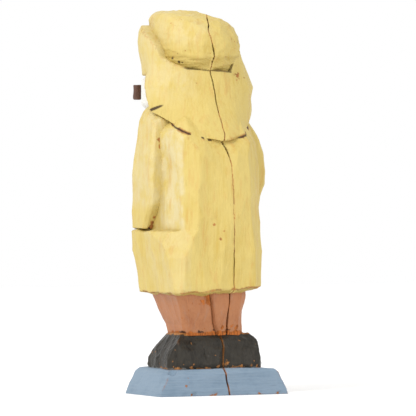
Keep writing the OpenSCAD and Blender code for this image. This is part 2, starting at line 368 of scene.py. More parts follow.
def painted_wood(name, light, mid, grime_and_shade, wood=(196, 124, 62), rough=0.6, streak=1.0,
                 across=False, wear=1.0, speck=0.0, face=False, lit=LIT, shine=0.28,
                 blush=None):
    """Brushed paint over wood: streaks along the brush, thin patches, flecks, a warmer tint in places,
    painted shade in the hollows and under overhangs, paler paint where marked pale (a painted highlight on
    the yellow pieces) and bare wood where an edge has worn or a chip has gone."""
    n = Nodes(name)
    fine, slow = 900.0, 40.0
    if across:
        brush = n.noise((slow, slow, fine), 5, 0.6)
        band = n.noise((12.0, 12.0, 160.0), 3)
    else:
        brush = n.noise((fine, fine, slow), 5, 0.6)
        band = n.noise((180.0, 180.0, 14.0), 3)
    patch = n.noise((60.0, 60.0, 40.0), 4, 0.6)
    grit = n.noise((1500.0, 1500.0, 1500.0), 2, 0.6)
    tone = n.math("ADD", n.math("MULTIPLY", brush, 0.45 * streak), n.math("MULTIPLY", band, 0.35 * streak))
    tone = n.math("ADD", tone, n.math("MULTIPLY", patch, 0.8 - 0.3 * streak))
    colour = n.mix(n.range(tone, 0.34, 0.72), srgb(*mid, lit), srgb(*light, lit))
    # Painted highlight on the yellow pieces: where the pale mark is set, the paint is mixed towards a
    # whiter tint.
    pale = n.math("MULTIPLY", n.attribute("pale"), n.range(n.noise((110.0, 110.0, 70.0), 4, 0.65), 0.3,
                                                           0.62))
    colour = n.mix(n.math("MULTIPLY", pale, 0.55), colour, srgb(*[min(255, v + 0.55 * (255 - v))
                                                                  for v in light], lit))
    if blush:
        warm = n.range(n.noise((240.0, 240.0, 45.0), 5, 0.62, 0.6), 0.5, 0.74)
        colour = n.mix(n.math("MULTIPLY", warm, 0.5), colour, srgb(*blush, lit))
    thin = n.range(n.math("ADD", n.math("MULTIPLY", patch, 0.6), n.math("MULTIPLY", brush, 0.5)), 0.64,
                   0.84)
    # Random thin patches show the darker grime colour; the same colour serves for the painted shade below.
    colour = n.mix(n.math("MULTIPLY", thin, 0.4), colour, srgb(*grime_and_shade))
    if speck:
        fleck = n.range(n.noise((260.0, 260.0, 150.0), 5, 0.7), 0.66, 0.75)
        colour = n.mix(n.math("MULTIPLY", fleck, speck), colour, srgb(*wood))
        colour = n.mix(n.math("MULTIPLY", n.range(grit, 0.66, 0.76), 0.4 * speck), colour, srgb(*wood))
    # Painted shade: marked hollows, undersides and shadowed grooves are darkened towards the shade colour.
    colour = n.mix(n.math("MULTIPLY", n.attribute("hollow_shade"), 0.5), colour, srgb(*grime_and_shade))
    ragged = n.math("MULTIPLY", n.range(n.noise((420.0, 420.0, 300.0), 4, 0.65), 0.40, 0.66), wear)
    edge = n.math("MULTIPLY", n.attribute("edge"), ragged, True)
    grain = n.mix(n.range(n.noise((700.0, 700.0, 25.0), 4), 0.35, 0.7), srgb(*wood),
                  srgb(*[int(v * 0.66) for v in wood]))
    bare = n.math("MAXIMUM", n.math("MULTIPLY", edge, 0.85), n.attribute("bare"))
    colour = n.mix(bare, colour, grain)
    colour = n.mix(n.math("MULTIPLY", n.attribute("dark"), 0.93), colour, srgb(58, 28, 16))
    if face:
        colour = n.mix(n.math("MULTIPLY", n.attribute("lip"), 0.7), colour, srgb(176, 104, 88))
        colour = n.mix(n.attribute("white"), colour, srgb(238, 234, 224))
        colour = n.mix(n.attribute("iris"), colour, srgb(58, 62, 66))
    n.shader.inputs["Specular IOR Level"].default_value = shine
    n.link(colour, n.shader.inputs["Base Color"])
    n.link(n.range(n.math("ADD", n.math("MULTIPLY", brush, 0.5), n.math("MULTIPLY", bare, 0.5)),
                   0.2, 0.8, rough - 0.08, rough + 0.14), n.shader.inputs["Roughness"])
    ridges = n.noise((380.0, 380.0, 150.0) if not across else (150.0, 150.0, 420.0), 4, 0.6, 0.8)
    bump = n.bump(brush, 0.6, 0.00025)
    bump = n.bump(ridges, 0.55, 0.0009, bump)
    bump = n.bump(patch, 0.4, 0.001, bump)
    n.link(n.bump(bare, 0.5, -0.0002, bump), n.shader.inputs["Normal"])
    return n.material


OILSKIN = painted_wood("oilskin_yellow_paint", (242, 216, 128), (226, 192, 88), (182, 150, 62), wear=0.55,
                       wood=(214, 142, 74), speck=0.25, blush=(230, 178, 96))
TROUSER = painted_wood("trouser_brown_paint", (208, 140, 94), (180, 110, 70), (108, 60, 36),
                       wood=(226, 128, 52), speck=0.25, blush=(196, 150, 122))
SHOE = painted_wood("shoe_black_paint", (66, 62, 55), (5, 5, 5), (4, 4, 4), rough=0.36,
                    wood=(206, 140, 78), wear=0.3, shine=0.16)
PLINTH = painted_wood("plinth_blue_paint", (152, 174, 194), (116, 143, 166), (84, 104, 124),
                      across=True, wear=0.9)
SKIN = painted_wood("skin_paint", (228, 182, 150), (208, 154, 120), (158, 98, 72), streak=0.35, wear=0.2,
                    face=True)
WHISKER = painted_wood("whisker_white_paint", (246, 244, 238), (226, 224, 216), (158, 154, 148),
                       streak=0.7, wear=0.35, rough=0.68, lit=0.76)
BRIAR = painted_wood("pipe_wood", (112, 80, 66), (74, 50, 42), (38, 24, 20), wood=(134, 92, 66),
                     rough=0.5)


# ---------------------------------------------------------------- shapes shared by the pieces

def crack_x(y, z):
    """Where the long drying crack runs. It wanders to the figure's left as it rises, and on top of
    the crown it slants with the dome."""
    path = along(z, (0, -4.4), (10, -2.4), (20, 0), (47, -7), (57.6, -5.8), (69, -4.8), (78, -4.6),
                 (110, -4.2), (150, -3.2), (175, -2.1), (184.5, 0.2), (193, 2.9), (200.5, 0.7),
                 (213.5, 2.3), (233, 3.4), (247.6, 5.4), (258.7, 5), (274.8, 9), (284, 10.6), (291, 12.1),
                 (300, 13))
    path = path + 0.488 * ease(275, 284, z) * (y - 24)
    return path + 0.22 * np.sin(z / 4.3) + 0.10 * np.sin(z / 1.7 + 1.0)


def crack(x, y, z, solid, deep=6.0, wide=0.55):
    """The crack's own volume: open on the back of a solid, narrower inwards, and running out near
    the top of the crown."""
    shallow = ease(285, 292, z)
    gap = np.abs(x - crack_x(y, z)) - 0.5 * wide * (1 + 0.25 * np.sin(z / 7.0)) * (1 + solid / (3.5 * deep))
    return both(gap, -deep * (1 - shallow) + 0.5 * shallow - solid, -2 - y)


def opened(x, y, z, solid, deep=6.0, wide=0.55):
    """A solid with the drying crack cut into it."""
    return without(solid, crack(x, y, z, solid, deep, wide))


def crack_marks(skin, wide=1.0, tint="dark"):
    """Colours the inside of the crack and a thin worn line at its lips."""
    p = skin.points
    off = np.abs(p[:, 0] - crack_x(p[:, 1], p[:, 2]))
    n = skin.normals()
    behind = (p[:, 1] > HEAD_Y + 4)
    wall = behind * (1 - ease(0.5 * wide, 0.8 * wide, off)) * ease(0.3, 0.75, np.abs(n[:, 0]))
    skin.marks[tint] = np.maximum(skin.marks.get(tint, 0), (0.75 if tint == "dark" else 1) * wall)
    lip = behind * (1 - ease(0.5 * wide, 0.85 * wide, off))
    skin.marks["hollow_shade"] = skin.marks["hollow_shade"] * (1 - behind * (1 - ease(1.5, 2.6, off)))
    skin.marks["bare"] = np.maximum(skin.marks.get("bare", 0), lip)


def round_head(x, y, half_w, front, back, centre=(HEAD_X, HEAD_Y)):
    """Distance outside an oval round the head's middle, with its own reach to front and back."""
    dx, dy = x - centre[0], y - centre[1]
    reach = np.where(dy < 0, front, back)
    q = np.sqrt((dx / half_w) ** 2 + (dy / reach) ** 2)
    size = np.sqrt(dx ** 2 + dy ** 2)
    return size * (1 - 1 / np.maximum(q, 0.15))


def heading(x, y):
    """Angle in degrees from straight ahead of the head, the same on both sides."""
    return np.degrees(np.abs(np.arctan2(x - HEAD_X, HEAD_Y - y)))


def crown_size(z):
    """Half width, front and back reach of the crown, which bulges over the stop cut behind."""
    width = along(z, (246, 26.4), (250, 28.4), (257, 31), (265, 32.2), (276, 32.6))
    front = along(z, (246, 30), (256, 34.5), (268, 38.5))
    back = along(z, (246, 26), (249, 27.8), (255, 32.4), (260, 35.8), (268, 37.6), (280, 37.4))
    return width, front, back


def crown_lean(z):
    """How far the crown leans forward and to the figure's left towards its top."""
    t = np.clip((z - 262) / 30, 0, 1.2) ** 2
    return 5.2 * t + 5 * ease(285, 297, z), -6.2 * t


def brim_low(a):
    """Lower edge of the brim and of the long neck flap, by heading. It is lowest behind."""
    return along(a, (0, 246.5), (86, 246.5), (94, 243.5), (98, 236.5), (101, 226), (103, 219),
                 (105, 216.8), (120, 212), (135, 205.5), (150, 200), (165, 196.6), (180, 194.5))


# ---------------------------------------------------------------- plinth

def plinth_field(x, y, z):
    ends = along(z, (0, 55), (4, 53.8), (10, 50.6), (17, 47), (20.5, 43.5), (24, 38))
    back = along(z, (0, 31.5), (17, 31), (20.5, 28.6), (24, 22)) - 1.1 * ease(18, -52, x)
    solid = both((np.abs(x) - ends) * 0.95, (y - back), (-y - back), z - PLINTH_TOP
                 + 1.3 * ease(34, 55, x) + 0.9 * ease(-30, -52, x), -z)
    for at, r in (((52, 24, 21), 6.5), ((-26, 38, 22.5), 8), ((-48, 33, 1), 3.4),
                  ((26, 33.8, 1), 3.6), ((44, 29, 20), 4.2)):
        solid = without(solid, ball(x, y, z, at, r))
    return opened(x, y, z, solid, 6, 1.0)


plinth = carved(plinth_field, (-58, -35, -3), (58, 35, 24), 0.62, (-9, 1, 0.32))
knife_cuts(plinth, 26, 8, 0.35, 0.010, 11, ease(1.0, 4.0, plinth.points[:, 2]))
plinth.points[:, 2] = np.maximum(plinth.points[:, 2], 0.0)
worn(plinth, 12)
mark(plinth, "bare", [(33, 31, 8, 0.9), (28, 31, 1.0, 1.1), (31, 31, 14, 0.5), (-30, 31, 1, 1.2),
                      (8, 31, 0.6, 1.2), (12, 31, 0.4, 1.0), (-46, 31, 1, 1.1), (48, 30, 0.6, 1.0)], 0.7,
     13)
crack_marks(plinth, 1.0, "bare")
show(plinth, "plinth_block", "plinth", PLINTH)


# ---------------------------------------------------------------- shoes

def shoe_field(inner, outer, toe_out):
    way = 1 if outer > inner else -1

    def field(x, y, z):
        s = np.clip((z - PLINTH_TOP) / (SHOE_TOP - PLINTH_TOP), 0, 1)
        far = along(s, (0, 0.2), (0.12, 0), (0.3, 0.4), (0.55, 2.6), (0.8, 6.5), (1, 11))
        front = along(s, (0, -28.8), (0.1, -29.5), (0.3, -29.3), (0.55, -25), (0.8, -19), (1, -15)) \
            - toe_out * (1 - s)
        back = along(s, (0, 26.6), (0.12, 28), (0.3, 28), (0.55, 26), (0.8, 22), (1, 17))
        outside = way * (x - outer) + far
        inside = -way * (x - inner)
        shell = both(outside, y - back, front - y, z - SHOE_TOP, PLINTH_TOP - 0.6 - z)
        heel = half(x, y, (way * 1.0, 0.62), (outer - way * 4.5, 25.5)) + far * 0.45
        toe = half(x, y, (way * 1.0, -0.75), (outer - way * 7, front + 2)) + far * 0.45
        shell = both(shell, heel, toe)
        solid = both(shell, inside, half(x, y, (-way * 1.0, 1.3), (inner + way * 4, 27)))
        notch = stroke(x, y, z, (inner + way * 14, 30, PLINTH_TOP + 4),
                       (inner + way * 17, 24, SHOE_TOP + 2), 2.4)
        split = both(way * (x - inner) - 0.45 - 0.1 * np.clip(shell, -4, 0), -4 - shell)
        return without(without(solid, notch) if way > 0 else solid, split)
    return field


for side, inner, outer, toe_out, seed in (("left", SHOE_GAP_X, 41.5, 1.5, 21),
                                          ("right", SHOE_GAP_X, -38.0, 1.0, 31)):
    low_x, high_x = min(inner, outer) - 2, max(inner, outer) + 2
    shoe = carved(shoe_field(inner, outer, toe_out), (low_x, -34, PLINTH_TOP - 3),
                  (high_x, 32, SHOE_TOP + 2), 0.5)
    edge_free = ease(0.2, 2.0, np.abs(shoe.points[:, 0] - inner))
    knife_cuts(shoe, 11, 12, 0.8, 0.04, seed, edge_free)
    knife_cuts(shoe, 4, 4, 0.2, 0.05, seed + 9, edge_free)
    worn(shoe, seed + 1)
    mark(shoe, "bare", [(36, 24, 21.8, 0.9), (25, 27, 24.6, 0.9), (26.5, 27, 22, 1.3),
                        (14, 27.5, 21.5, 0.9), (3, 28, 22, 0.9), (-16, 28, 22.6, 0.8),
                        (-24, 27.5, 23, 1.0), (-29, 26, 23.4, 0.8)], 0.9, seed + 2)
    p = shoe.points
    near_split = 1 - ease(0.3, 0.9, np.abs(p[:, 0] - inner))
    above = p[:, 2] - PLINTH_TOP - 1.2 * noise(p, 4.5, seed + 5) - 0.7 * noise(p, 1.5, seed + 6)
    joint = (1 - ease(0.4, 0.9, np.abs(above - 0.6))) * (noise(p, 5, seed + 7) > 0.1)
    shoe.marks["pale"] = 1 - ease(0.3, 0.8, above)
    ankle_rim = 1 - ease(0.3, 1.0, SHOE_TOP - p[:, 2] + 0.9 * noise(p, 3, seed + 8))
    shoe.marks["bare"] = np.maximum.reduce([shoe.marks["bare"], 0.9 * joint,
                                            0.8 * near_split * (p[:, 1] > 0), ankle_rim])
    show(shoe, side + "_shoe_block", side + "_shoe", SHOE)


# ---------------------------------------------------------------- trouser legs

def leg_gap(y, z):
    """Where the two legs part: upright in front, and behind it leans to the left as it rises."""
    behind = along(z, (SHOE_TOP, 1.2), (SHOE_TOP + 8, 5.5), (SHOE_TOP + 22, 9.2), (HEM_Z + 4, 12.2))
    return 2.5 + (behind - 2.5) * ease(-8, 18, y)


def leg_field(way, outline):
    def field(x, y, z):
        s = np.clip((z - SHOE_TOP) / (HEM_Z - SHOE_TOP), 0, 1)
        far, inner = along(s, *outline), leg_gap(y, z)
        front = along(s, (0, -16), (0.25, -18), (0.6, -22), (1, -25))
        back = along(s, (0, 20), (0.25, 23), (0.6, 27), (1, 30))
        shell = both(way * (x - far), y - back, front - y)
        solid = both(shell, z - HEM_Z - 4, SHOE_TOP - 1.5 - z, -way * (x - inner))
        for fy, edge in ((1, back), (-1, front)):
            solid = both(solid, (way * (x - far) + fy * (y - edge) + 5.5) * DIAGONAL)
            solid = both(solid, (-way * (x - inner) + fy * (y - edge) + 2.2) * DIAGONAL)
        split = both(way * (x - inner) - 0.28 - 0.6 * (1 - ease(-16, 0, y))
                     - 0.06 * np.clip(shell, -4, 0), -4 - shell)
        solid = without(solid, split)
        notch = ball(x, y, z, (12.8, 31.4, 75.5), (4.5, 3.4, 5))
        return without(solid, notch if way > 0 else crack(x, y, z, shell, 7, 0.8))
    return field


LEFT_LEG = ((0, 29), (0.25, 29.9), (0.6, 33.7), (1, 37.5))
RIGHT_LEG = ((0, -23), (0.25, -21), (0.6, -19.4), (1, -21))

for side, way, outline, seed in (("left", 1, LEFT_LEG, 41), ("right", -1, RIGHT_LEG, 51)):
    low_x, high_x = (-1, 40) if way > 0 else (-26, 14)
    leg = carved(leg_field(way, outline), (low_x, -28, SHOE_TOP - 4), (high_x, 33, HEM_Z + 6), 0.5,
                 None if way > 0 else (-9, -3, 0.25))
    knife_cuts(leg, 10, 16, 0.5, 0.03, seed, ease(0.2, 2.0, np.abs(leg.points[:, 0]
                                                                   - leg_gap(*leg.points[:, 1:].T))))
    worn(leg, seed + 1)
    rim = (leg.points[:, 2] - SHOE_TOP - 1.6 - 1.5 * noise(leg.points, 3.5, seed + 3)
           - 0.6 * noise(leg.points, 1.1, seed + 4))
    leg.marks["bare"] = (1 - ease(-0.4, 0.4, rim))
    leg.marks["dark"] = (1 - ease(0.4, 1.2, np.abs(rim - 0.8))) * (noise(leg.points, 4, seed + 5) > 0.25)
    mark(leg, "bare", [(12.8, 28, 74, 2.8), (15.5, 28, 77, 2.0), (9.5, 28, 77, 1.8), (17, 28, 72.6, 1.0),
                       (11, 27, 69.5, 1.0)] if way > 0 else [(-3, 26, 50.5, 1.4), (-14, 25, 50, 1.2)],
         0.9, seed + 6)
    if side == "right":
        crack_marks(leg, 0.8, "dark")
    show(leg, side + "_leg_block", side + "_trouser_leg", TROUSER)


# ---------------------------------------------------------------- coat

def coat_field(x, y, z):
    left = along(z, (76.5, 43), (82, 43.8), (102.5, 47), (126, 50.6), (127.2, CORE_LEFT),
                 (193.5, CORE_LEFT), (204, 42), (214, 33))
    right = along(z, (76.5, -31.5), (82, -32.3), (102.5, -32.5), (193.5, -33), (204, -30), (214, -20))
    front = along(z, (76.5, -36.5), (82, -37), (126.5, -38.5), (183.5, -37), (193.5, -36), (210, -32))
    back = along(z, (76.5, 38), (82, 38.4), (102.5, 39), (126, 39.5), (183.5, 38.5), (190, 36.4),
                 (197, 31.5), (205, 27), (214, 20))
    solid = both(x - left, right - x, y - back, front - y,
                 z - SHOULDER_Z - 4 * ease(-12, 2, y),
                 HEM_Z - 0.2 - 0.05 * np.maximum(x, 0) + 0.02 * np.minimum(x, 0) - z)
    # The knife has undercut the hem all round, and left it ragged.
    ragged = (0.6 * np.sin(x / 4.3) + 0.45 * np.sin(y / 3.7 + 1) + 0.4 * np.sin((x + y) / 1.9)
              * np.sin(x / 7.7))
    hem = 0.912 * (HEM_Z + 5.4 - 0.06 * x + ragged - z)
    for inward in (x - left, right - x, y - back, front - y):
        solid = np.maximum(solid, hem + 0.41 * inward)
    # The four long corners. The back left one is the widest, and runs out in a slope below the cuff.
    back_left = along(z, (76.5, 53), (81.5, 55), (94.5, 53.8), (105.5, 54.2), (120.5, 49.4), (127, 46.8),
                      (197, 44.5), (214, 34))
    solid = both(solid, DIAGONAL * (x + y) - back_left)
    side_left = along(z, (76.5, 60), (105, 56), (118, 52.6), (126, 48.2), (127, 42.6), (200, 42.6),
                      (214, 33))
    solid = both(solid, 0.965 * x + 0.263 * y - side_left)
    back_right = along(z, (76.5, 42.5), (87, 44), (105, 43.6), (126, 42), (148, 40.4), (165, 40),
                       (193.5, 38.5), (214, 26))
    solid = both(solid, DIAGONAL * (y - x) - back_right)
    front_left = along(z, (76.5, 52), (90, 53.5), (110, 56.6), (127, 57.5), (128, 50), (193.5, 47.5),
                       (210, 34))
    solid = both(solid, DIAGONAL * (x - y) - front_left)
    front_right = along(z, (76.5, 38), (82, 43.5), (127, 44), (193.5, 41.5), (210, 27))
    solid = both(solid, DIAGONAL * (-x - y) - front_right)
    return opened(x, y, z, solid, 5, 0.4)


coat = carved(coat_field, (-38, -43, 73), (54, 44, 213), 0.74, (-8, 3, 0.34))
knife_cuts(coat, 15, 24, 1.0, 0.030, 61)
worn(coat, 62)
p = coat.points
above = p[:, 2] - HEM_Z - 5.0 + 0.06 * p[:, 0] - 1.0 * noise(p, 4, 63) - 0.5 * noise(p, 1.4, 65)
# Painted shade: the undercut underside of the hem is darkened.
coat.marks["hollow_shade"] = np.maximum(coat.marks["hollow_shade"], 1 - ease(-1.2, 0.2, above))
coat.marks["bare"] = 0.8 * (1 - ease(0.3, 0.9, np.abs(above + 0.3))) * (noise(p, 7, 66) > -0.25)
a = heading(p[:, 0], p[:, 1])
# Painted shadow: a dark line on the coat just under the neck flap's edge, with a few worn spots beside it.
under_flap = np.abs(p[:, 2] - brim_low(a) + 0.4 - 0.5 * noise(p, 5, 67))
flap_shadow_band = ((a > 127) & (a < 163) & (noise(p, 6, 68) > -0.1)) | ((a > 166) & (p[:, 0] > 12))
coat.marks["dark"] = (1 - ease(0.4, 1.0, under_flap)) * flap_shadow_band * (p[:, 1] > 5)
coat.marks["bare"] = np.maximum(coat.marks["bare"], 0.8 * (1 - ease(1.0, 2.2, under_flap)) * flap_shadow_band
                                * (noise(p, 3, 69) > 0.2))
# Painted highlight: the left side facet, which faces the light, is made paler.
wall = 0.965 * p[:, 0] + 0.263 * p[:, 1]
coat.marks["pale"] = ease(40.4, 42, wall) * (0.35 + 0.65 * ease(124, 134, p[:, 2])) * (p[:, 1] > -10)
# Painted shadow in the groove behind the left forearm, where the sleeve stands proud.
coat.marks["hollow_shade"] = np.maximum(coat.marks["hollow_shade"], 0.8 * (1 - ease(0.5, 3.2, np.abs(p[:, 0] - 43)))
                                  * (p[:, 1] > -8) * (p[:, 1] < 11) * (p[:, 2] > CUFF_Z - 1)
                                  * (p[:, 2] < 172))
mark(coat, "bare", [(7.5, 39, 120, 0.9), (4.5, 39, 126, 0.8), (13, 39, 131, 0.9), (-44, 20, 126, 1.2)],
     0.4, 64)
crack_marks(coat, 0.5, "bare")
show(coat, "coat_block", "coat_body", OILSKIN)


# ---------------------------------------------------------------- sleeves

def left_sleeve_field(x, y, z):
    outer = along(z, (126, 50.4), (150, 51), (164.5, 51.6), (180, 51), (196, 50), (204, 49.6), (211, 48.8),
                  (217, 46.6), (221, 43.5), (226, 36))
    front = along(z, (126, -33), (164.5, -29), (180, -27), (196, -23), (212, -20.5), (226, -17))
    rear = along(z, (126, -8), (134, -4), (146, 3.5), (158, 6.2), (180, 7), (204, 7), (226, 7))
    solid = both(x - outer, front - y, y - rear, 30 - x, CUFF_Z + 0.6 - z + 0.05 * (x - 40))
    solid = both(solid, half(x, y, (1, -1), (outer, front + 3.4)),
                 half(x, y, (1, 1.15), (outer, rear - 2.4)))
    roof = (z - 224 + 0.6 * np.maximum(x - 42, 0) + 0.55 * np.maximum(y + 16, 0)) * 0.8
    return both(solid, roof)


def right_sleeve_field(x, y, z):
    outer = along(z, (126, -44.2), (145, -44.2), (152, -43.6), (161, -45), (172, -45.6), (185, -44.2),
                  (196, -41), (203, -37.5), (210, -33.5), (216, -27))
    front = along(z, (126, -33), (164.5, -27), (199.5, -22), (216, -17))
    rear = along(z, (126, -6), (140, 3), (152, 8), (162, 12.6), (172, 13.4), (186, 13), (205, 10), (216, 6))
    solid = both(outer - x, front - y, y - rear, x + 20, CUFF_Z + 0.6 - z)
    solid = both(solid, half(x, y, (-1, -1), (outer, front + 3)), half(x, y, (-1.2, 1), (outer, rear - 3)))
    return both(solid, (z - 212.5 - 0.6 * np.minimum(x + 30, 0)) * 0.85)


for side, field, low, high, seed in (("left", left_sleeve_field, (29, -36, 122), (53, 10, 227), 71),
                                     ("right", right_sleeve_field, (-49, -36, 122), (-18, 17, 216), 81)):
    sleeve = carved(field, low, high, 0.6)
    knife_cuts(sleeve, 12, 22, 0.6, 0.025, seed)
    worn(sleeve, seed + 1)
    if side == "left":
        # Painted highlight: the upper part of the sleeve on the lit side is made paler.
        sleeve.marks["pale"] = 0.7 * ease(140, 150, sleeve.points[:, 2])
        mark(sleeve, "bare", [(43.5, 6, 196, 1.5), (43.2, 6.2, 190, 1.5), (45, -6.5, 128.5, 2.2),
                              (44.5, -4.5, 132, 1.6), (43.5, -2.5, 136, 1.2)], 0.4, seed + 2)
        # Painted shadow: dark spots along the lower edge of the cuff, over the gap beneath it.
        mark(sleeve, "dark", [(46, -7.5, 126.8, 1.2), (49, -20, 126.5, 0.8)], 0.6, seed + 3)
    show(sleeve, side + "_sleeve_arm", side + "_sleeve", OILSKIN)


# ---------------------------------------------------------------- hat

def crown_field(x, y, z):
    t = np.clip((z - BAND_Z) / (CROWN_H + 0.6), 0, 1)
    dome = np.sqrt(np.maximum(1 - t ** 6.2, 0.004))
    w, f, b = [v * dome for v in crown_size(z)]
    cx, cy = crown_lean(z)
    dx, dy = x - HEAD_X - cx, y - HEAD_Y - cy
    q = ((np.abs(dx) / w) ** 2.3 + (np.abs(dy) / np.where(dy < 0, f, b)) ** 2.3) ** (1 / 2.3)
    wall = np.sqrt(dx ** 2 + dy ** 2) * (1 - 1 / np.maximum(q, 0.15))
    slope = np.gradient(w.ravel(), z.ravel()).reshape(w.shape)
    solid = wall / np.sqrt(1 + slope ** 2)
    solid = both(solid, z - CROWN_TOP + 0.3, BAND_Z - 1 - z)
    return opened(x, y, z, solid)


crown = carved(crown_field, (-38, -62, 243), (50, 34, 301), 0.62, (-3, 13, 0.32))
knife_cuts(crown, 13, 13, 0.8, 0.04, 91)
knife_cuts(crown, 6, 5, 0.32, 0.06, 97)
worn(crown, 92)
p = crown.points
# Painted highlight: the top of the crown on the figure's left is made paler.
crown.marks["pale"] = 0.5 * ease(262, 275, p[:, 2]) * ease(0, 20, p[:, 0])
a = heading(p[:, 0], p[:, 1])
band_middle = along(a, (104, 265), (112, 261.5), (128, 257.4), (146, 254.6), (180, 254))
rough_shadow_band = (1 - ease(4.2, 6.4, np.abs(p[:, 2] - band_middle - 1.2 * noise(p, 11, 95))
                       + 1.2 * noise(p, (8, 8, 2), 93)))
rough_shadow_band = rough_shadow_band * (p[:, 1] > HEAD_Y)
# Painted shade on the rough band under the crown's bulge, where it curves in to the stop cut.
crown.marks["hollow_shade"] = np.maximum(crown.marks["hollow_shade"], 0.8 * rough_shadow_band
                                   * (0.75 + 0.5 * noise(p, (9, 9, 1.6), 98)))
crown.push(0.75 * rough_shadow_band * noise(p, (7, 7, 1.7), 96) + 0.3 * rough_shadow_band * noise(p, (3, 3, 0.9), 99))
mark(crown, "dark", [(31.5, 5.6, 258.4, 1.1), (27.8, 9.3, 256, 1.0), (25.9, 11, 255.7, 0.7)], 0.6, 94)
mark(crown, "bare", [(31, 8, 283, 0.5), (-12, 14, 270, 0.6), (-15, 12, 270.5, 0.5)], 0.9, 104)
crack_marks(crown, 0.55, "bare")
show(crown, "hat_crown_dome", "hat_crown", OILSKIN)


def brim_high(a, x):
    """Top of the brim. It stays high further round on the figure's left side."""
    left = along(a, (0, 284), (66, 284), (74, 282.4), (82, 280), (92, 276), (102, 271), (107, 267),
                 (112.5, 259.5), (128, 253.4), (144, 250.4), (180, 249.4))
    right = along(a, (0, 284), (48, 283), (70, 270), (90, 264), (110, 265), (122, 264.5), (136, 262),
                  (141, 258), (147, 248.4), (180, 249.4))
    return right + (left - right) * ease(-4, 8, x - HEAD_X)


def brim_field(x, y, z):
    a = heading(x, y)
    low, high = brim_low(a), brim_high(a, x)
    rear = ease(84, 108, a)
    left_side = ease(-4, 8, x - HEAD_X)
    face = 1 - ease(25, 55, a)
    left_w = along(z, (226, 47), (236, 46.2), (242, 43.4), (247, 39.8), (254, 40.4), (264, 42.6),
                   (272, 43.4), (280, 42.4), (285, 40))
    right_w = along(z, (243, 43), (254, 40), (263, 35.6), (272, 34.4), (285, 34.4))
    rear_left = along(z, (194, 42), (210, 43), (219, 45.5), (237, 46.8), (246, 44.5), (254, 42.5),
                      (263, 42), (276, 42))
    rear_right = along(z, (194, 43), (210, 44), (219, 46), (228, 45.8), (237, 48.4), (246, 44.4),
                       (254, 40.6), (263, 34.6), (270, 33.6))
    front_w = right_w + (left_w - right_w) * left_side
    w = front_w + (rear_right + (rear_left - rear_right) * left_side - front_w) * rear
    f = along(z, (243, 41), (256, 42.6), (270, 44.6), (281, 44.6), (285, 43)) + 3.5 * face
    b = along(z, (194, 49), (199, 45.5), (207, 41), (218.5, 37), (232, 32.8), (242, 30.8), (249, 29.6),
              (256, 30.6), (262, 34), (276, 38))
    solid = both(round_head(x, y, w, f, b), (z - high) * 0.8, (low - z) * 0.7)
    # The gutter between the crown and the turned-up front.
    deep = 1 - ease(48, 70, a)
    cw, cf, cb = crown_size(high)
    gutter = both(round_head(x, y, np.minimum(cw + 7 * deep - 2.6, w - 3.2), cf + 5.5 * deep - 2.6, cb
                             - 2), high - 1 - 12 * deep - z)
    solid = without(solid, gutter)
    # Under the flap: a shallow undercut behind, and room for the face in front.
    under = both(round_head(x, y, w - 5, f - 5, b - 5), z - low - 3,
                 a - 360 + 460 * (1 - ease(108, 122, a)))
    solid = without(solid, under)
    solid = without(solid, ball(x, y, z, (HEAD_X, HEAD_Y - 34, BAND_Z - 6), (21, 14, 10.5)))
    solid = without(solid, stroke(x, y, z, (48.4, 0, 218.6), (42.2, 11, 222.6), 0.8, 0.4))
    return opened(x, y, z, solid)


brim = carved(brim_field, (-44, -66, 190), (54, 40, 286), 0.66, (-2, 11, 0.34))
knife_cuts(brim, 16, 26, 0.65, 0.022, 101)
worn(brim, 102)
mark(brim, "bare", [(-19.6, 14, 245, 1.7), (-21, 13, 247.6, 1.0), (-17.5, 15, 246.4, 0.8)], 0.8, 103)
p = brim.points
brim.marks["dark"] = 1 - ease(0.3, 0.8, stroke(*p.T, (48.4, 0, 218.6), (42.2, 11, 222.6), 0.9, 0.5))
a = heading(p[:, 0], p[:, 1])
# Painted shadow: a dark line along the stop cut behind, under the crown's overhang.
stop_cut_shadow = (1 - ease(0.3, 0.9, np.abs(p[:, 2] - brim_high(a, p[:, 0]) + 0.2))) * ease(136, 144, a) * 0.8
brim.marks["dark"] = np.maximum(brim.marks["dark"], stop_cut_shadow)
# Painted highlight: the lower flap on the figure's left, facing the light, is made paler.
brim.marks["pale"] = 0.55 * ease(215, 240, p[:, 2]) * ease(10, 30, p[:, 0])
crack_marks(brim, 0.55, "bare")
show(brim, "hat_brim_flap", "hat_brim", OILSKIN)

# ---------------------------------------------------------------- coat details at the front

def front_y(z):
    """Where the coat's front lies at a height, drawn in at the hem as the placket's foot is."""
    return along(z, (76.5, -30), (82, -37), (126.5, -38.5), (183.5, -37), (193.5, -36), (210, -32))


PLACKET_LOW, PLACKET_HIGH = span("coat_placket")


def placket_field(x, y, z):
    middle = 0.5 * (PLACKET_LOW[0] + PLACKET_HIGH[0])
    wide = 0.5 * (PLACKET_HIGH[0] - PLACKET_LOW[0]) + 0.25 * np.sin(z / 9.0)
    strip = both(np.abs(x - middle) - wide, front_y(z) - 1.5 - y, y - front_y(z) - 2,
                 z - PLACKET_HIGH[2], PLACKET_LOW[2] - z)
    stitch = np.abs(np.abs(x - middle) - wide + 1.5) - 0.25
    return without(strip, both(stitch, y - front_y(z) + 1.15))


placket = carved(placket_field, (-4, -43, 80), (13, -32, 196), 0.42)
knife_cuts(placket, 9, 20, 0.25, 0.02, 111)
worn(placket, 112)
show(placket, "coat_placket_strip", "coat_placket", OILSKIN)

BUTTON_LOW, BUTTON_HIGH = span("coat_buttons")
BUTTON_R = 0.5 * (BUTTON_HIGH[0] - BUTTON_LOW[0])
BUTTON_X = 0.5 * (BUTTON_HIGH[0] + BUTTON_LOW[0])
BUTTON_SPACING = (BUTTON_HIGH[2] - BUTTON_LOW[2] - 2 * BUTTON_R) / 3


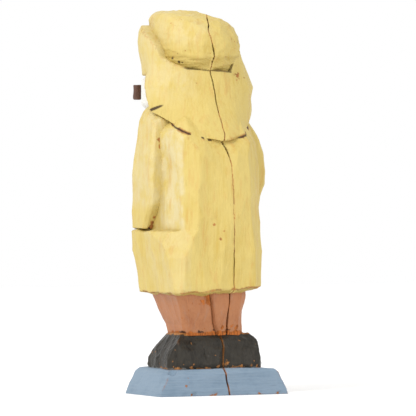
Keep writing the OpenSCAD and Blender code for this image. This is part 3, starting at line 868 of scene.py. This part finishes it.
def buttons_field(x, y, z):
    first = BUTTON_LOW[2] + BUTTON_R
    k = np.clip(np.round((z - first) / BUTTON_SPACING), 0, 3)
    dz = z - first - k * BUTTON_SPACING
    front = front_y(first + k * BUTTON_SPACING) - 3.0
    r = np.sqrt((x - BUTTON_X) ** 2 + dz ** 2)
    disc = both(r - BUTTON_R, front - y, y - front - 2.6)
    disc = both(disc, (r - BUTTON_R + front + 0.7 - y) * DIAGONAL)
    disc = without(disc, both(r - BUTTON_R * 0.62, y - front - 0.55, -(y - front + 2)))
    holes = np.sqrt((np.abs(x - BUTTON_X) - 0.75) ** 2 + (np.abs(dz) - 0.75) ** 2) - 0.38
    return without(disc, both(holes, y - front - 1.6))


buttons = carved(buttons_field, (0.5, -44, 93), (9.5, -36, 192), 0.26)
worn(buttons, 116, 0.05, 3)
show(buttons, "coat_button_row", "coat_buttons", SHOE)


def collar_field(x, y, z):
    a = heading(x, y)
    edge = 1 - 0.8 * ease(54, 80, a)
    top = SHOULDER_Z + 1.2 * edge
    outside = round_head(x, y, 25.2 - 0.08 * (z - SHOULDER_Z), 25.8, 20)
    fold = 0.35 * (z - SHOULDER_Z + 6)
    solid = both(outside + fold * 0.2, -round_head(x, y, 16, 17, 16), z - top, SHOULDER_Z - 6.5 - z, a - 79)
    return without(solid, both(a - 2.6, z - SHOULDER_Z + 40, y - HEAD_Y + 20.5))


collar = carved(collar_field, (-24, -40, 202), (33, -5, 213.5), 0.42)
knife_cuts(collar, 8, 6, 0.3, 0.03, 117)
worn(collar, 118)
show(collar, "coat_collar_band", "coat_collar", OILSKIN)


# ---------------------------------------------------------------- head, beard and moustache

EYE_Z = BAND_Z - 2.0
FACE_Y = HEAD_Y - 41.0
EYE_X = 6.4


def head_field(x, y, z):
    t = ease(SHOULDER_Z, SHOULDER_Z + 16, z)
    solid = both(round_head(x, y, 18 + 15 * t, 20 + 19.5 * t, 18 + 8 * t), z - BAND_Z - 5.5, SHOULDER_Z
                 - 3 - z)
    dx = np.abs(x - HEAD_X)
    # Brow, nose, cheeks and lower lip stand out; the eyes lie in shallow hollows.
    solid = without(solid, ball(dx, y, z, (EYE_X + 0.5, FACE_Y + 0.4, EYE_Z), (5.4, 3.2, 3.0)))
    solid = joined(solid, stroke(dx, y, z, (1.5, FACE_Y + 1.5, BAND_Z + 1.9),
                                 (9.5, FACE_Y + 4.2, BAND_Z + 1.6), 1.8, 1.2), 1.2)
    solid = joined(solid, stroke(x, y, z, (HEAD_X, FACE_Y + 0.6, BAND_Z + 0.4),
                                 (HEAD_X, FACE_Y - 2.6, BAND_Z - 5.6), 1.5, 2.0), 1.4)
    solid = joined(solid, ball(dx, y, z, (1.9, FACE_Y - 0.9, BAND_Z - 6.6), (1.5, 1.9, 1.3)), 0.8)
    solid = joined(solid, ball(dx, y, z, (10.2, FACE_Y + 4.6, BAND_Z - 6.0), (5.0, 4.2, 3.8)), 3.0)
    solid = joined(solid, ball(x, y, z, (HEAD_X, FACE_Y + 1.2, SHOULDER_Z + 21.0), (5.0, 2.2, 1.3)), 0.8)
    solid = without(solid, stroke(dx, y, z, (0, FACE_Y - 0.6, SHOULDER_Z + 22.7),
                                  (4.6, FACE_Y + 1.0, SHOULDER_Z + 22.9), 0.45))
    # Eyeballs with an upper and a lower lid.
    solid = joined(solid, ball(dx, y, z, (EYE_X, FACE_Y + 2.6, EYE_Z), (3.3, 2.9, 2.8)), 0.3)
    solid = joined(solid, stroke(dx, y, z, (EYE_X - 3.1, FACE_Y + 0.5, EYE_Z + 1.5),
                                 (EYE_X + 3.4, FACE_Y + 1.9, EYE_Z + 1.2), 0.62), 0.5)
    solid = joined(solid, stroke(dx, y, z, (EYE_X - 2.8, FACE_Y + 0.8, EYE_Z - 1.75),
                                 (EYE_X + 3.0, FACE_Y + 2.0, EYE_Z - 1.6), 0.5), 0.5)
    return solid


head = carved(head_field, (-31, -60, 205), (41, 17, 253), 0.42)
calm = ease(3, 12, np.linalg.norm(head.points - [HEAD_X, FACE_Y, EYE_Z - 4], axis=1) - 10)
knife_cuts(head, 7, 8, 0.3, 0.03, 121, calm)
worn(head, 122)
p = head.points
side_x = np.abs(p[:, 0] - HEAD_X)
front_part = p[:, 1] < FACE_Y + 4.5
eye = np.sqrt(((side_x - EYE_X) / 3.0) ** 2 + ((p[:, 2] - EYE_Z + 0.15) / 1.45) ** 2)
white = front_part * (1 - ease(0.86, 1.02, eye))
iris = front_part * (1 - ease(0.85, 1.05, np.hypot(side_x - EYE_X, p[:, 2] - EYE_Z) / 1.3))
lip = (front_part * (1 - ease(0.7, 1.0, np.sqrt(((p[:, 0] - HEAD_X) / 4.6) ** 2
                                                + ((p[:, 2] - SHOULDER_Z - 21.2) / 1.3) ** 2))))
head.marks["white"], head.marks["iris"], head.marks["lip"] = white, iris, lip
show(head, "head_carving", "head", SKIN)


def strand(points, size, seed, lean):
    """Combed grooves that run down and a little outwards from the middle of the face."""
    along_x = (points[:, 0] - HEAD_X)
    down = points[:, 2]
    sweep = (np.degrees(np.arctan2(along_x, HEAD_Y - points[:, 1])) * 0.75 + lean * (down - SHOULDER_Z)
             * np.sign(along_x))
    wave = sweep + 1.2 * np.sin(down / 3.7 + seed) + 1.8 * noise(points, 7, seed)
    return np.abs(np.sin(wave / size * math.pi)) - 0.6


def beard_field(x, y, z):
    a = heading(x, y)
    side = ease(14, 56, a)
    t = 6.5 * (1 - 0.55 * ease(84, 103, a)) + 0.7 * np.sin(a / 5.0) * (1 - side)
    chin = 1.5 * np.exp(-(a / 16.0) ** 2)
    low = SHOULDER_Z + 0.6 + 6.5 * side + 1.2 * np.abs(np.sin(a / 7.0))
    top = SHOULDER_Z + 20.0 + 15.5 * side
    neck = ease(SHOULDER_Z, SHOULDER_Z + 15, z)
    taper = 3.0 * ease(SHOULDER_Z + 13, SHOULDER_Z, z)
    roll = ease(-3.5, 0.5, z - top) * (2.5 + 2 * side)
    r = t + chin - roll
    outside = round_head(x, y, 19 + 14.5 * neck + r - taper * 0.3, 22 + 19 * neck + r,
                         18 + 8 * neck + r * 0.8)
    return both(outside, z - top, low - z, a - 104, -round_head(x, y, 14, 18, 12))


beard = carved(beard_field, (-42, -65, 209), (51, 2, 248), 0.44)
beard.push(0.34 * strand(beard.points, 3.6, 5, 0.25))
worn(beard, 132, 0.13)
show(beard, "beard_carving", "beard", WHISKER)


def moustache_field(x, y, z):
    dx = np.abs(x - HEAD_X)
    lobe = stroke(dx, y, z, (2.2, FACE_Y - 0.6, SHOULDER_Z + 27.2),
                  (8.5, FACE_Y + 0.6, SHOULDER_Z + 26.2), 2.3, 1.9)
    tip = stroke(dx, y, z, (8.5, FACE_Y + 0.6, SHOULDER_Z + 26.2),
                 (14.2, FACE_Y + 3.2, SHOULDER_Z + 24.2), 1.9, 0.8)
    return both(joined(lobe, tip, 0.8), 0.35 - dx)


moustache = carved(moustache_field, (-13, -60, 230), (22, -45, 242), 0.3)
combed = moustache.points[:, 2] + 0.12 * np.abs(moustache.points[:, 0] - HEAD_X) ** 1.5
moustache.push(0.22 * (np.abs(np.sin(combed / 1.05 * math.pi / 1.6)) - 0.5))
worn(moustache, 142, 0.06, 3)
show(moustache, "moustache_carving", "moustache", WHISKER)


# ---------------------------------------------------------------- pipe

BOWL_LOW, BOWL_HIGH = span("pipe_bowl")
BOWL_X, BOWL_Y = 0.5 * (BOWL_LOW[0] + BOWL_HIGH[0]), 0.5 * (BOWL_LOW[1] + BOWL_HIGH[1])
BOWL_R = 0.5 * (BOWL_HIGH[0] - BOWL_LOW[0])
STEM_LOW, STEM_HIGH = span("pipe_stem")
STEM_Z = 0.5 * (STEM_LOW[2] + STEM_HIGH[2])
STEM_R = 0.5 * (STEM_HIGH[2] - STEM_LOW[2])


def bowl_field(x, y, z):
    r = np.hypot(x - BOWL_X, y - BOWL_Y)
    wide = BOWL_R + 0.1 + 0.15 * np.sin((z - BOWL_LOW[2]) / 3.0)
    solid = both(r - wide, z - BOWL_HIGH[2] + 0.04 * (x - BOWL_X), BOWL_LOW[2] - z)
    solid = both(solid, (r - wide + z - BOWL_HIGH[2] + 0.5) * DIAGONAL,
                 (r - wide - z + BOWL_LOW[2] + 0.6) * DIAGONAL)
    return without(solid, both(r - 1.9, BOWL_LOW[2] + 2.6 - z))


bowl = carved(bowl_field, (20, -79, 226), (30, -68, 242), 0.2)
knife_cuts(bowl, 2.4, 4, 0.16, 0.05, 151)
worn(bowl, 152, 0.03, 4)
inside = np.hypot(bowl.points[:, 0] - BOWL_X, bowl.points[:, 1] - BOWL_Y) < 2.15
bowl.marks["dark"] = inside * ease(BOWL_LOW[2] + 1, BOWL_LOW[2] + 2, bowl.points[:, 2]) * 0.85
show(bowl, "pipe_bowl_dowel", "pipe_bowl", BRIAR)


def stem_field(x, y, z):
    start = (STEM_LOW[0] + STEM_R, STEM_HIGH[1] - STEM_R, STEM_Z)
    end = (BOWL_X - 0.6, BOWL_Y + 1.0, STEM_Z)
    return stroke(x, y, z, start, end, STEM_R - 0.12, STEM_R + 0.04)


stem = carved(stem_field, (7, -77, 229), (28, -46, 236), 0.2)
worn(stem, 162, 0.03, 4)
stem.push(0.08 * noise(stem.points, (3, 3, 3), 163))
show(stem, "pipe_stem_rod", "pipe_stem", BRIAR)

# ---------------------------------------------------------------- camera, light and floor

floor_mesh = bpy.data.meshes.new("floor")
reach = 3.0
floor_mesh.from_pydata([(-reach, -reach, 0), (reach, -reach, 0), (reach, reach, 0), (-reach, reach, 0)], [],
                       [(0, 1, 2, 3)])
floor = bpy.data.objects.new("floor", floor_mesh)
bpy.context.scene.collection.objects.link(floor)
pale = Nodes("floor_pale")
pale.shader.inputs["Base Color"].default_value = (1.0, 1.0, 1.0, 1)
pale.shader.inputs["Roughness"].default_value = 0.9
floor_mesh.materials.append(pale.material)

AZIMUTH, ELEVATION = math.radians(154), math.radians(0.3)
CAMERA_AWAY, LENS = 3.0, 336.2
AIM_ACROSS = 0.00077
KEY_SIZE, KEY_POWER = 0.5, 20
FILL_SIZE, FILL_POWER = 1.4, 4.5

middle = Vector((0, 0, 0.1434))
forward = Vector((-math.sin(AZIMUTH), math.cos(AZIMUTH), 0))
across = Vector((math.cos(AZIMUTH), math.sin(AZIMUTH), 0))


def area_light(name, place, size, power):
    data = bpy.data.lights.new(name, "AREA")
    data.shape = "DISK"
    data.size = size
    data.energy = power
    obj = bpy.data.objects.new(name, data)
    obj.location = place
    obj.rotation_euler = (middle - place).to_track_quat("-Z", "Y").to_euler()
    bpy.context.scene.collection.objects.link(obj)
    return obj


up = Vector((0, 0, 1))
key = area_light("key_light", middle - 1.1 * forward - 0.9 * across + 1.3 * up, KEY_SIZE, KEY_POWER)
fill = area_light("fill_light", middle - 1.3 * forward + 1.1 * across + 0.5 * up, FILL_SIZE, FILL_POWER)

world = bpy.data.worlds.new("studio")
world.use_nodes = True
world.node_tree.nodes["Background"].inputs["Color"].default_value = (1, 1, 1, 1)
world.node_tree.nodes["Background"].inputs["Strength"].default_value = 1.0
bpy.context.scene.world = world
bpy.context.scene.view_settings.view_transform = "Standard"

camera_data = bpy.data.cameras.new("camera")
camera_data.sensor_width = 36
camera_data.lens = LENS
camera = bpy.data.objects.new("camera", camera_data)
aim = middle + AIM_ACROSS * across
camera.location = aim - CAMERA_AWAY * (forward * math.cos(ELEVATION) - up * math.sin(ELEVATION))
camera.rotation_euler = (aim - camera.location).to_track_quat("-Z", "Y").to_euler()
bpy.context.scene.collection.objects.link(camera)
bpy.context.scene.camera = camera
